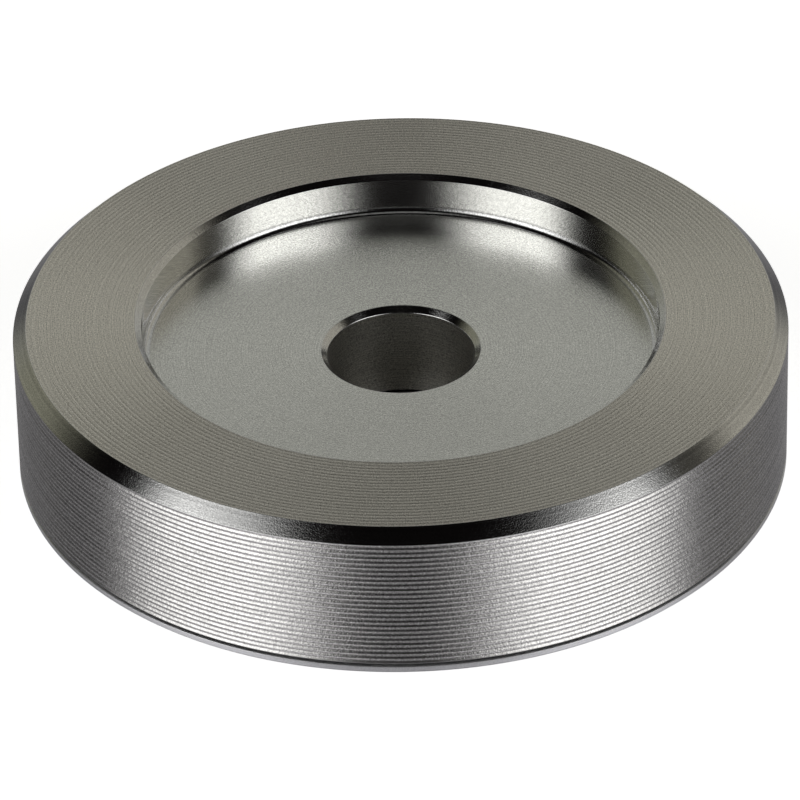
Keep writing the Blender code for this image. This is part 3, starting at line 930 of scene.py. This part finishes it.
def back_lights(tree, turn, side, height):
    """The right, left and middle parts of the backdrop behind the wheel."""
    edges = product(tree, ramp(tree, height, *BACK_TOP_EDGE), ramp(tree, height, *BACK_LOW_EDGE))
    side_end = ramp(tree, side, *BACK_SIDE_END)
    right = product(tree, ramps(tree, turn, BACK_RIGHT_START), side_end, edges)
    left = product(tree, ramp(tree, turn, *BACK_LEFT_START), side_end, edges)
    middle = product(tree, ramp(tree, side, *BACK_MIDDLE_START), edges)
    return right, left, middle


def table_light(tree, turn, side, height):
    """The table: brighter towards the camera and to the right, with a glow under each soft box."""
    steep = ramp(tree, height, *TABLE_STEEP)
    glow = added(tree, product(tree, steep, GLOW_STEEP_GAIN), GLOW)
    under_boxes = product(tree, ramp(tree, side, *GLOW_START), ramp(tree, side, *GLOW_END), glow)
    near = ramps(tree, side, TABLE_NEAR_LIGHT)
    near = added(tree, near, ramp(tree, turn, *TABLE_RIGHT_LIGHT), TABLE_LIGHT)
    loss = product(tree, steep, near, TABLE_STEEP_LOSS)
    lit = added(tree, math_node(tree, "SUBTRACT", near, loss), under_boxes)
    return product(tree, ramp(tree, height, *TABLE_EDGE), lit)


def add_world():
    """A dark studio with soft boxes, a backdrop, a weak overhead light and a table, seen as plain pale."""
    world = bpy.data.worlds.new("studio")
    bpy.context.scene.world = world
    world.use_nodes = True
    tree = world.node_tree
    tree.nodes.clear()
    direction = node(tree, "ShaderNodeTexCoord").outputs["Generated"]
    split = node(tree, "ShaderNodeSeparateXYZ", {0: direction})
    near = product(tree, split.outputs["Y"], -1.0)
    turn = math_node(tree, "DEGREES", math_node(tree, "ARCTAN2", split.outputs["X"], near))
    side = math_node(tree, "ABSOLUTE", turn)
    height = math_node(tree, "DEGREES", math_node(tree, "ARCSINE", split.outputs["Z"]))
    back_right, back_left, back_middle = back_lights(tree, turn, side, height)
    lights = [
        (BOX_COLOR, box_lights(tree, turn, side, height)),
        (BACK_RIGHT_COLOR, back_right),
        (BACK_LEFT_COLOR, back_left),
        (BACK_MIDDLE_COLOR, back_middle),
        (TABLE_COLOR, table_light(tree, turn, side, height)),
        (HAZE_COLOR, product(tree, ramp(tree, height, *HAZE_TOP), ramp(tree, side, *HAZE_END))),
        (OVERHEAD_COLOR, ramp(tree, height, *OVERHEAD_EDGE)),
    ]
    total = DARK_COLOR
    for color, strength in lights:
        light = tinted(tree, color, strength)
        total = node(tree, "ShaderNodeVectorMath", {0: total, 1: light}, operation="ADD").outputs[0]
    lit = node(tree, "ShaderNodeBackground", {"Color": total, "Strength": 1.0})
    pale = node(tree, "ShaderNodeBackground", {"Color": BACKGROUND_COLOR, "Strength": 1.0})
    seen = node(tree, "ShaderNodeLightPath").outputs["Is Camera Ray"]
    mix = node(tree, "ShaderNodeMixShader", {0: seen, 1: lit.outputs[0], 2: pale.outputs[0]})
    node(tree, "ShaderNodeOutputWorld", {"Surface": mix.outputs[0]})


def add_camera():
    data = bpy.data.cameras.new("photo_camera")
    data.lens = CAMERA_LENS_MM
    data.sensor_width = CAMERA_SENSOR_MM
    data.clip_start, data.clip_end = CAMERA_CLIP
    camera = bpy.data.objects.new("photo_camera", data)
    bpy.context.scene.collection.objects.link(camera)
    forward = Vector((0, math.cos(CAMERA_ELEVATION), -math.sin(CAMERA_ELEVATION)))
    level_up = Vector((0, math.sin(CAMERA_ELEVATION), math.cos(CAMERA_ELEVATION)))
    level_right = Vector((1, 0, 0))
    right = level_right * math.cos(CAMERA_ROLL) - level_up * math.sin(CAMERA_ROLL)
    up = level_right * math.sin(CAMERA_ROLL) + level_up * math.cos(CAMERA_ROLL)
    target = Vector((0, 0, PLATE_BOTTOM)) + right * CAMERA_AIM_RIGHT + up * CAMERA_AIM_UP
    turn = Matrix((right, up, -forward)).transposed().to_4x4()
    camera.matrix_world = Matrix.Translation(target - forward * CAMERA_DISTANCE) @ turn
    bpy.context.scene.camera = camera


add_camera()
add_head()
add_base_plate()
add_feet()
add_screws()
add_housing()
add_spacer()
add_bearing()
add_cage()
add_balls()
add_seals()
add_snap_ring()
add_floor()
add_world()
bpy.context.scene.view_settings.view_transform = "Standard"
